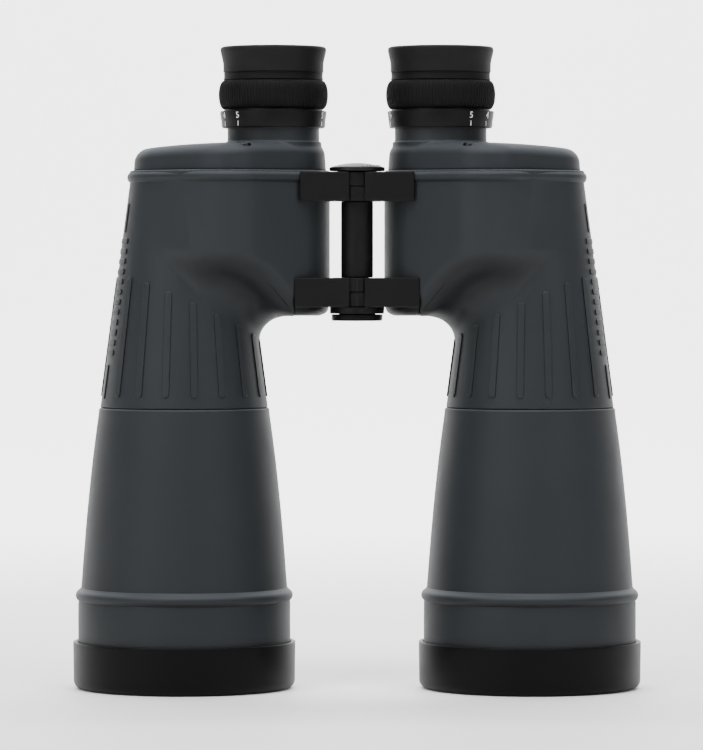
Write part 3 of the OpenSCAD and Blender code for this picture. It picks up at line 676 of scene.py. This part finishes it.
def barrel_profile():
    """Rubber sleeve of the objective barrel: rim, bead and crowned taper, as a closed section."""
    bead = CAP_TOP + 19.2
    sleeve = [(42.95, 42.1), (42.7, 45), (41.95, 55), (41.15, 65), (40.25, 75), (39.25, 85), (38.15, 95),
              (36.9, 105), (35.6, 114.5)]
    inner = RIM_R - 2.2
    points = [(inner, RIM_LOW)]
    points += corner(RIM_R - 0.5, RIM_LOW + 0.5, 0.5, -90, 0)
    points += [(RIM_R, bead - 3.2)]
    points += corner(RIM_R - 1.55, bead, 2.6, -58, 62, 11)
    points += sleeve
    points += corner(35.5 - 0.8, SEAM - 0.8, 0.8, 5, 80)
    points += [(31.0, SEAM - 0.05), (33.0, SEAM - 6), (38.5, 80), (40.3, 50), (inner, 34)]
    return points


def cap_profile():
    """Push-on cap: rounded foot, thin lip, and a shallow step under its floor."""
    inside = CAP_R - 1.85
    points = [(0.02, 0.45), (30.0, 0.45), (30.5, 0.0)]
    points += corner(CAP_R - 3.7, 3.5, 3.5, -90, 0, 8)
    points += [(CAP_R, CAP_TOP - 1.0)]
    points += corner(CAP_R - 0.35, CAP_TOP - 0.35, 0.35, 0, 90)
    points += corner(inside + 0.35, CAP_TOP - 0.35, 0.35, 90, 180)
    points += [(inside, 3.6)] + corner(inside - 1.5, 3.5, 1.5, 0, -90, 5) + [(0.02, 2.0)]
    return points


def neck_profile():
    z = COVER_HIGH
    foot = corner(20.0, z + 1.05, 0.9, 262, 180, 6)
    points = [(17.2, z - 5), (19.6, z - 5), (19.8, z)] + foot
    return points + [(19.05, z + 12), (18.8, z + 18.3), (17.2, z + 18.5)]


RING_LOW = low_z("left_dioptre_ring")
GRIP_LOW = high_z("left_dioptre_ring")
CUP_LOW = low_z("left_eyecup")
CUP_TOP = high_z("left_eyecup")
BAND_LOW = GRIP_LOW + 11.7
RING_BORE = 19.5
GRIP_R, RIB_R, GRIP_RIBS = 22.5, 0.3, 104
GRIP_MIDDLE = (GRIP_LOW + BAND_LOW) / 2


def scale_ring_profile():
    points = [(RING_BORE, RING_LOW)]
    points += [(21.0, RING_LOW)] + corner(21.0, RING_LOW + 0.35, 0.35, -80, 0, 4)
    points += corner(21.85, GRIP_LOW - 1.2, 0.3, 0, 80, 4)
    points += [(20.6, GRIP_LOW - 0.75), (20.4, GRIP_LOW), (RING_BORE, GRIP_LOW)]
    return points


def grip_profile():
    """Body of the focusing ring under its ribs, with a plain collar above."""
    z = GRIP_LOW
    points = [(RING_BORE, z), (20.2, z)]
    points += [(GRIP_R + x, GRIP_MIDDLE + up) for x, up in (grip_bulge(t) for t in np.linspace(0, 1, 17))]
    points += [(20.75, BAND_LOW + 0.5), (20.55, BAND_LOW + 1.2), (20.5, CUP_LOW - 0.7)]
    points += corner(20.55, CUP_LOW - 0.5, 0.2, -60, 60, 3)
    points += [(20.2, CUP_LOW - 0.2), (20.2, CUP_LOW), (17.3, CUP_LOW), (17.3, z + 9), (RING_BORE, z + 8.9)]
    return points


def eyecup_profile():
    z = CUP_LOW
    points = [(15.9, z), (20.6, z), (20.85, z + 0.25), (20.85, z + 2), (20.9, z + 3.9),
              (21.25, z + 5.6), (21.65, z + 7.3), (21.95, z + 8.7)]
    points += corner(20.75, CUP_TOP - 1.3, 1.28, 5, 90, 8)
    points += corner(20.65, CUP_TOP - 1.0, 0.98, 90, 180, 6)
    points += [(19.6, z + 6.5), (19.2, z + 4.5), (18.6, z + 3.2), (18.5, z + 1.8)]
    return points + [(18.2, z + 1.5), (15.9, z + 1.5)]


def disc_profile():
    """Domed scale disc on top of the hinge."""
    z, top = low_z("scale_disc"), high_z("scale_disc")
    r = radius("scale_disc")
    points = [(0.02, z + 1.85), (8.6, z + 1.8), (8.6, z), (r - 0.3, z)]
    points += corner(r - 0.3, z + 0.3, 0.3, -60, 0, 3)
    points += [(r, z + 1.1)] + corner(r - 0.4, z + 1.2, 0.4, 10, 70, 3)
    for share in np.linspace(0.9, 0.02, 9):
        points.append((r * share, z + 1.55 + (top - z - 1.55) * (1 - share ** 2)))
    points.append((0.02, top))
    return points


def tripod_cap_profile():
    z, top = low_z("tripod_cap"), high_z("tripod_cap")
    r = radius("tripod_cap")
    flange = z + 2.7
    points = [(0.02, z + 0.5), (6.4, z + 0.5), (6.7, z)] + corner(r - 0.7, z + 0.7, 0.7, -90, 0, 5)
    points += [(r, flange - 0.3), (r - 0.3, flange), (7.6, flange), (7.6, top)]
    return points + [(4.75, top), (4.75, flange), (0.02, flange)]


def tube_profile():
    low, high = low_z("hinge_tube"), high_z("hinge_tube")
    r = radius("hinge_tube")
    return [(5.1, low), (r - 0.3, low), (r, low + 0.3), (r, high - 0.3), (r - 0.3, high), (5.1, high)]


def ridge_profile():
    """Rounded bead and lip under the cover, as (distance out from the outline, height)."""
    middle_z = (RIDGE + COVER_LOW) / 2
    points = [(-3.0, RIDGE + 0.5), (-0.2, RIDGE + 0.5)] + corner(-1.45, middle_z - 0.2, 2.6, -52, 50, 9)
    lip = [(-0.1, COVER_LOW - 0.85), (-0.25, COVER_LOW - 0.25), (-0.6, COVER_LOW), (-3.0, COVER_LOW)]
    return points + lip


def sweep_round(name, profile, material, side):
    """Runs a closed section round the housing's outline."""
    circles = outline_circles()
    turns = tangent_angles(circles)
    path = []
    for i, (centre, r) in enumerate(circles):
        start, end = turns[i - 1], turns[i]
        while end < start:
            end += 2 * math.pi
        path += [(centre, r, a) for a in np.linspace(start, end, max(int((end - start) * r / 0.8), 3))]
    verts = [(c[0] + (r + h) * math.cos(a), c[1] + (r + h) * math.sin(a), z)
             for c, r, a in path for h, z in profile]
    n, m = len(path), len(profile)
    faces = [(i * m + j, ((i + 1) % n) * m + j, ((i + 1) % n) * m + (j + 1) % m, i * m + (j + 1) % m)
             for i in range(n) for j in range(m)]
    piece = new_object(name, verts, faces, material, side)
    harden(piece)
    return piece


def arm_field(node, side):
    """An arm as a smoothed copy of its node: plate, web and the knuckle on the hinge axis."""
    low, high = node_box(node)
    if side < 0:
        low, high = low * (-1, 1, 1), high * (-1, 1, 1)
        low[0], high[0] = high[0], low[0]
    z0 = low[2] if node.endswith("upper_arm") else high[2] - 12.1
    z1 = z0 + 12.1
    reach = -low[0] if node.endswith("upper_arm") else 25.7
    front = HINGE[1] - 10.6
    back = HINGE[1] + 8.8
    knuckle_h = (12.1 - 0.5) / 2 - 0.1
    own = (z1 - knuckle_h, z1) if side > 0 else (z0, z0 + knuckle_h)
    other = (z0 - 1, z0 + knuckle_h + 0.5) if side > 0 else (z1 - knuckle_h - 0.5, z1 + 1)

    def field(p):
        q = p[:, :2] - HINGE
        ring = np.hypot(q[:, 0], q[:, 1])
        plate = brick(p, (-reach - 2, front, z0), (-3.1, back, z1), 0.45)
        cleared = np.maximum(ring - 10.2, np.maximum(other[0] - p[:, 2], p[:, 2] - other[1]))
        plate = both(plate, -cleared, 0.15)
        # the plate ends inside the armour's skin
        plate = np.maximum(plate, -(outline(p) + 3.2))
        plate = np.maximum(plate, -reach - p[:, 0])
        knuckle = post(p, HINGE, 9.8, own[0], own[1], 0.35)
        body = either(plate, knuckle, 0.5)
        return np.maximum(body, 5.05 - ring)

    return field, (-reach - 1, front - 1, z0 - 1), (10.8, back + 3, z1 + 1)


LUG_ANGLE = 138
RIB_PHASE, RIB_PITCH = -11, 20
BAR_ANGLE, BAR_PITCH, BAR_COUNT = -72, 4.2, 12


def on_stub(angle, z, height):
    """A point standing off the stub's surface; the angle is in degrees from the front, towards the hinge."""
    r, turn = stub_radius(z) + height, math.radians(angle)
    return OBJECTIVE[0] + r * math.sin(turn), OBJECTIVE[1] - r * math.cos(turn), z


def rounded_spine(low, high, half_width, r):
    """Stations of a bar with rounded corners: (distance along it, half its width there)."""
    bend = [(r * (1 - math.cos(a)), half_width - r + r * math.sin(a)) for a in np.linspace(0, math.pi / 2, 6)]
    level = [(s, half_width) for s in np.linspace(low + r, high - r, 7)[1:-1]]
    ends = [(low + s, w) for s, w in bend], [(high - s, w) for s, w in bend[::-1]]
    return [(low, 0)] + ends[0] + level + ends[1] + [(high, 0)]


def stub_pads(name, side):
    """Raised ribs and bars of the stub, each with its wall painted near black as painted shade of the crease
    round its foot.
    """
    verts, faces, crease_shade_faces = [], [], []

    def pad(spine, place, height):
        half = (spine[-1][0] - spine[0][0]) / 2
        centre = spine[0][0] + half
        rings = []
        for inset, up in ((0.0, -0.5), (0.0, height - 0.16), (0.16, height)):
            line = [(centre + (s - centre) * (1 - inset / half), max(w - inset, 0)) for s, w in spine]
            loop = line[:-1] + [(s, -w) for s, w in line[:0:-1]]
            rings.append(range(len(verts), len(verts) + len(loop)))
            verts.extend(place(s, w, up) for s, w in loop)
        count = len(rings[0])
        for lower, upper in zip(rings, rings[1:]):
            # the wall from below the skin up to the bevel takes the painted crease shade
            crease_shade_faces.extend([lower is rings[0]] * count)
            faces.extend([(lower[i], lower[(i + 1) % count], upper[(i + 1) % count], upper[i])
                          for i in range(count)])
        top, n = rings[2], len(spine)
        spines = range(len(verts), len(verts) + n - 2)
        verts.extend(place(s, 0, height) for s, _ in line[1:-1])
        for flip in (False, True):
            edge = [top[0]] + [top[-i] if flip else top[i] for i in range(1, n - 1)] + [top[n - 1]]
            inner = [None] + list(spines) + [None]
            for i in range(n - 1):
                face = [v for v in (edge[i], edge[i + 1], inner[i + 1], inner[i]) if v is not None]
                faces.append(face[::-1] if flip else face)
                crease_shade_faces.append(False)

    for k in range(18):
        angle = (RIB_PHASE + k * RIB_PITCH + 180) % 360 - 180
        if abs(angle - BAR_ANGLE) < 12:
            continue
        top = SEAM + 41.5 - 13.7 * math.cos(math.radians(angle - 110))
        pad(rounded_spine(SEAM + 4.8, top, 1.45, 1.3),
            lambda s, w, up: on_stub(angle + math.degrees(w / stub_radius(s)), s, up), 0.5)
    first = SEAM + 21
    last = first + BAR_PITCH * BAR_COUNT
    for k in range(BAR_COUNT):
        level = first + (k + 0.5) * BAR_PITCH
        pad(rounded_spine(-4.6, 4.6, 1.15, 0.9),
            lambda s, w, up: on_stub(BAR_ANGLE + math.degrees(s / stub_radius(level)), level - w, up), 0.45)
    for low, high in ((SEAM + 4, SEAM + 18), (last + 1.5, last + 13.5)):
        pad(rounded_spine(low, high, 0.8, 0.75),
            lambda s, w, up: on_stub(BAR_ANGLE + math.degrees(w / stub_radius(s)), s, up), 0.45)
    piece = new_object(name, verts, faces, ARMOUR, side)
    # second material: the painted crease shade on the pads' walls
    piece.data.materials.append(PAINTED_CREASE_SHADE)
    for face, dark in zip(piece.data.polygons, crease_shade_faces):
        face.material_index = int(dark)
    harden(piece, 40)
    return piece


def lug_field(p):
    """Strap lug: an upright loop on a foot that lies along the stub's slope."""
    turn, lean = math.radians(LUG_ANGLE), math.atan(STUB_TAPER)
    low, high = node_box("left_strap_lug")
    level = (low[2] + high[2]) / 2
    q = p[:, :2] - OBJECTIVE
    out = q[:, 0] * math.cos(turn) + q[:, 1] * math.sin(turn) - stub_radius(level)
    across = -q[:, 0] * math.sin(turn) + q[:, 1] * math.cos(turn)
    up = p[:, 2] - level
    local = np.column_stack([out * math.cos(lean) + up * math.sin(lean), across,
                             up * math.cos(lean) - out * math.sin(lean)])
    loop = brick(local, (-2.5, -2, -8), (5.5, 2, 8), 1.2)
    gap = brick(local, (0.45, -5, -5.5), (3.4, 5, 5.5), 0.8)
    foot = brick(local, (-2.5, -3, -8.5), (0.4, 3, 8.5), 0.35)
    return either(np.maximum(loop, -gap), foot, 0.8)


def digit_mesh(text, size):
    """Outline of a figure as a flat mesh, centred, in millimetres."""
    curve = bpy.data.curves.new("figure", "FONT")
    curve.body = text
    curve.size = size
    curve.align_x, curve.align_y = "CENTER", "CENTER"
    curve.resolution_u = 3
    holder = bpy.data.objects.new("figure", curve)
    bpy.context.collection.objects.link(holder)
    graph = bpy.context.evaluated_depsgraph_get()
    mesh = bpy.data.meshes.new_from_object(holder.evaluated_get(graph))
    bpy.data.objects.remove(holder)
    points = [tuple(v.co[:2]) for v in mesh.vertices]
    faces = [tuple(f.vertices) for f in mesh.polygons]
    bpy.data.meshes.remove(mesh)
    return points, faces


FIGURE_SIZE = 3.7
FIGURE_R, RING_LEAN = 21.97, 0.126
TICK_R, TICK_SWEEP = 21.46, 250


def wrapped_figures(name, figures, centre, ring_r, level, lean):
    """Painted figures wrapped round a ring: each is (text, degrees from the front, towards +X)."""
    bm = bmesh.new()
    for text, degrees in figures:
        points, faces = digit_mesh(text, FIGURE_SIZE)
        verts = []
        for x, y in points:
            r = ring_r + lean * y + 0.06
            a = math.radians(degrees) + x / r
            verts.append(bm.verts.new(((centre[0] + r * math.sin(a)) * MM, (centre[1] - r * math.cos(a)) * MM,
                                       (level + y) * MM)))
        for face in faces:
            try:
                bm.faces.new([verts[i] for i in face])
            except ValueError:
                pass
    shell = bmesh.ops.extrude_face_region(bm, geom=list(bm.faces))
    for vertex in [g for g in shell["geom"] if isinstance(g, bmesh.types.BMVert)]:
        away = Vector((vertex.co.x - centre[0] * MM, vertex.co.y - centre[1] * MM, 0)).normalized()
        vertex.co -= away * 0.12 * MM
    bmesh.ops.recalc_face_normals(bm, faces=bm.faces)
    mesh = bpy.data.meshes.new(name)
    bm.to_mesh(mesh)
    bm.free()
    mesh.materials.append(PAINT)
    piece = bpy.data.objects.new(name, mesh)
    bpy.context.collection.objects.link(piece)
    return piece


ribs = ring_of_ribs(GRIP)
ticks = scale_ticks(PAINT)

# Figures of each dioptre scale, as degrees from the front
FIGURES = {
    "left": [("5", -41.5), ("4", -66.5), ("3", -91.5), ("2", -116.5), ("1", -141.5), ("0", -166.5),
             ("1", 168.5), ("2", 143.5), ("3", 118.5), ("4", 93.5), ("5", 68.5)],
    "right": [("5", 34.2), ("4", 61), ("3", 85), ("2", 109.5), ("1", 134), ("0", 159),
              ("1", -176.5), ("2", -151.5), ("3", -126.5), ("4", -101.5), ("5", -72.6)],
}

# Where each scale's even row of ticks starts, in the same degrees
FIRST_TICK = {"left": 68.5, "right": 34.2}

for name, side in SIDES:
    half, focus = f"{name}_half", f"{name}_focus"
    eye = EYE * (side, 1)

    armour = skin(f"{name}_armour_skin", cut_armour_field, (OBJECTIVE[0] - 36.5, -40, SEAM - 1),
                  (EYE[0] + 25, 36.5, COVER_LOW + 1), 0.66, ARMOUR, side)
    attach(armour, half)
    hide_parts(f"{name}_body_armour")

    ridge = sweep_round(f"{name}_cover_ridge", ridge_profile(), ARMOUR, side)
    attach(ridge, half)

    pads = stub_pads(f"{name}_stub_ribs", side)
    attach(pads, half)

    bare = skin(f"{name}_bare_corner", bare_corner_field, (BARE_X - 1, -26, HOUSING_FLOOR - 1),
                (EYE[0] + 25, 8, BARE_TOP + 1), 0.4, ENAMEL, side)
    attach(bare, half)

    cover = skin(f"{name}_cover_shell", cover_field, (OBJECTIVE[0] - 24, -40, COVER_LOW - 1),
                 (EYE[0] + 25, 25, COVER_HIGH + 1), 0.55, ARMOUR, side)
    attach(cover, half)
    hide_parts(f"{name}_rear_cover")

    low = np.min(SCREWS, axis=0) - 4
    high = np.max(SCREWS, axis=0) + 4
    screws = skin(f"{name}_screw_heads", screw_field, (*low, COVER_HIGH - 5), (*high, COVER_HIGH + 0.5), 0.22,
                  BLACK_SCREW, side)
    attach(screws, half)
    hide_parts(f"{name}_cover_screws")

    barrel = lathe(f"{name}_barrel_sleeve", barrel_profile(), OBJECTIVE, ARMOUR, side, 192)
    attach(barrel, half)
    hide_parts(f"{name}_objective_armour")

    cap = lathe(f"{name}_cap_shell", cap_profile(), OBJECTIVE, CAP, side, 192)
    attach(cap, f"{name}_cap")
    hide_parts(f"{name}_objective_cap")

    neck = lathe(f"{name}_neck_sleeve", neck_profile(), EYE, ARMOUR, side, 128)
    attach(neck, half)
    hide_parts(f"{name}_eyepiece_neck")

    ring = lathe(f"{name}_scale_ring", scale_ring_profile(), EYE, ANODISED, side, 128)
    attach(ring, focus)
    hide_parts(f"{name}_dioptre_ring")

    grip = lathe(f"{name}_grip_body", grip_profile(), EYE, GRIP, side, 128)
    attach(grip, focus)
    knurl = ribs.grow(f"{name}_grip_ribs", side, "grip_rubber", Count=GRIP_RIBS, Radius=GRIP_R * MM,
                      Width=RIB_R * MM, Level=GRIP_MIDDLE * MM, Centre=(EYE[0] * MM, EYE[1] * MM, 0))
    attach(knurl, focus)
    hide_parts(f"{name}_focus_ring")

    cup = lathe(f"{name}_eyecup_shell", eyecup_profile(), EYE, CUP, side, 128)
    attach(cup, focus)
    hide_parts(f"{name}_eyecup")

    figures = wrapped_figures(f"{name}_scale_figures", FIGURES[name], eye, FIGURE_R, RING_LOW + 4.9,
                              RING_LEAN)
    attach(figures, focus)
    marks = ticks.grow(f"{name}_scale_ticks", 1, "black_metal", Count=len(FIGURES[name]), Radius=TICK_R * MM,
                       Start=math.radians(FIRST_TICK[name] - 90), Sweep=math.radians(TICK_SWEEP),
                       Size=(0.36 * MM, 0.35 * MM, 2.3 * MM),
                       Place=(eye[0] * MM, eye[1] * MM, (RING_LOW + 1.75) * MM))
    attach(marks, focus)

    for part in ("upper_arm", "lower_arm"):
        field, low, high = arm_field(f"{name}_{part}", side)
        arm = skin(f"{name}_{part}_plate", field, low, high, 0.3, ENAMEL, side)
        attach(arm, half)
        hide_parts(f"{name}_{part}")

    low, high = node_box("left_strap_lug")
    lug = skin(f"{name}_lug_loop", lug_field, low - 2, high + 2, 0.3, ENAMEL, side)
    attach(lug, half)
    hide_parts(f"{name}_strap_lug")

tube = lathe("hinge_sleeve", tube_profile(), HINGE, ENAMEL, 1, 96)
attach(tube, "left_half")
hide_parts("hinge_tube")
disc = lathe("hinge_disc_dome", disc_profile(), HINGE, DISC, 1, 96)
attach(disc, "left_half")
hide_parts("scale_disc")
DISC_R, DISC_LOW, DISC_TOP = radius("scale_disc"), low_z("scale_disc"), high_z("scale_disc")
DISC_TICK_SHARE = 0.8
tick_level = DISC_LOW + 1.45 + (DISC_TOP - DISC_LOW - 1.55) * (1 - DISC_TICK_SHARE ** 2)
scale = ticks.grow("hinge_disc_ticks", 1, "disc_plastic", Count=6, Radius=DISC_R * DISC_TICK_SHARE * MM,
                   Start=math.radians(-72), Sweep=math.radians(50), Size=(1.9 * MM, 0.32 * MM, 0.8 * MM),
                   Place=(HINGE[0] * MM, HINGE[1] * MM, tick_level * MM))
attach(scale, "left_half")
knob = lathe("tripod_cap_knob", tripod_cap_profile(), HINGE, CAP, 1, 96)
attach(knob, "tripod_cap")
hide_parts("tripod_cap")


# ---- finishes of the nodes that stay ----

SLOT_FINISH = {
    "cast_metal": CASTING, "black_metal": ANODISED, "hinge_metal": ENAMEL, "steel": STEEL,
    "spring_brass": BRASS, "seal_rubber": GRIP, "optical_glass": GLASS, "armour_rubber": ARMOUR,
    "grip_rubber": GRIP, "cap_plastic": CAP,
    "disc_plastic": DISC,
}
for entry in frame["record"]["subparts"]:
    holder = frame["nodes"][entry["node"]]
    finish = SLOT_FINISH[entry["material_slot"]]
    if entry["node"].endswith("cover_screws"):
        finish = BLACK_SCREW
    if entry["node"].startswith("hinge_"):
        finish = ANODISED
    if entry["node"].endswith("eye_lens"):
        finish = EYE_GLASS
    for material_slot in holder.material_slots:
        material_slot.material = finish


# ---- floor, light and camera ----

def pale(name, tone, strength):
    f = Finish(name, Roughness=0.6, Emission_Strength=strength)
    # the glow fades out round the origin, so that little light comes up from below
    away = f.node("ShaderNodeVectorMath", {"operation": "LENGTH"}, {0: f.place}, 1)
    glow = f.smooth(away, 0.35, 1.3)
    f.drive(Emission_Color=f.blend(glow, (0.05, 0.05, 0.05, 1), (1, 1, 1, 1)))
    mottle = f.noise(3, 2, 0.5)
    f.drive(Base_Color=f.blend(mottle * 0.1, (tone, tone, tone, 1), (tone * 0.97,) * 3 + (1,)))
    return f.material


def backdrop():
    """Floor that curves up into the wall behind."""
    half, back, bend = 4.0, 2.6, 1.0
    section = [(-4.0, 0.0), (back - bend, 0.0)]
    section += [(back - bend + bend * math.sin(a), bend - bend * math.cos(a))
                for a in np.linspace(0.1, math.pi / 2, 14)]
    section += [(back, 4.0)]
    verts, faces = [], []
    for y, z in section:
        verts += [(-half / MM, y / MM, z / MM), (half / MM, y / MM, z / MM)]
    for i in range(len(section) - 1):
        faces.append((2 * i, 2 * i + 1, 2 * i + 3, 2 * i + 2))
    piece = new_object("studio_floor", verts, faces, pale("studio_white", 0.92, 1.3))


def softbox(name, place, aim, size, power):
    lamp = bpy.data.lights.new(name, "AREA")
    lamp.shape = "RECTANGLE"
    lamp.size, lamp.size_y = size
    lamp.energy = power
    holder = bpy.data.objects.new(name, lamp)
    bpy.context.collection.objects.link(holder)
    holder.location = place
    holder.rotation_euler = (Vector(aim) - Vector(place)).to_track_quat("-Z", "Y").to_euler()


backdrop()
softbox("left_softbox", (-1.2, -1.3, 1.15), (0, 0, 0.17), (0.9, 1.2), 18)
softbox("right_softbox", (1.2, -1.3, 1.15), (0, 0, 0.17), (0.9, 1.2), 9)
softbox("top_softbox", (0.0, -0.6, 1.5), (0, 0, 0.2), (1.6, 0.9), 28)
softbox("back_wash", (0.0, 0.9, 1.9), (0, 2.2, 0.5), (2.6, 0.6), 110)

world = bpy.data.worlds.new("studio")
bpy.context.scene.world = world
world.use_nodes = True
world.node_tree.nodes["Background"].inputs[0].default_value = (1, 1, 1, 1)
world.node_tree.nodes["Background"].inputs[1].default_value = 0.2

CAMERA_LENS = 226.5
CAMERA_PLACE, CAMERA_AIM = (-0.0023, -1.965, 0.174), (-0.0023, 0, 0.1304)
camera = bpy.data.cameras.new("view")
camera.lens = CAMERA_LENS
camera.sensor_width = 36
viewer = bpy.data.objects.new("view", camera)
bpy.context.collection.objects.link(viewer)
viewer.location = CAMERA_PLACE
viewer.rotation_euler = (Vector(CAMERA_AIM) - viewer.location).to_track_quat("-Z", "Y").to_euler()
bpy.context.scene.camera = viewer
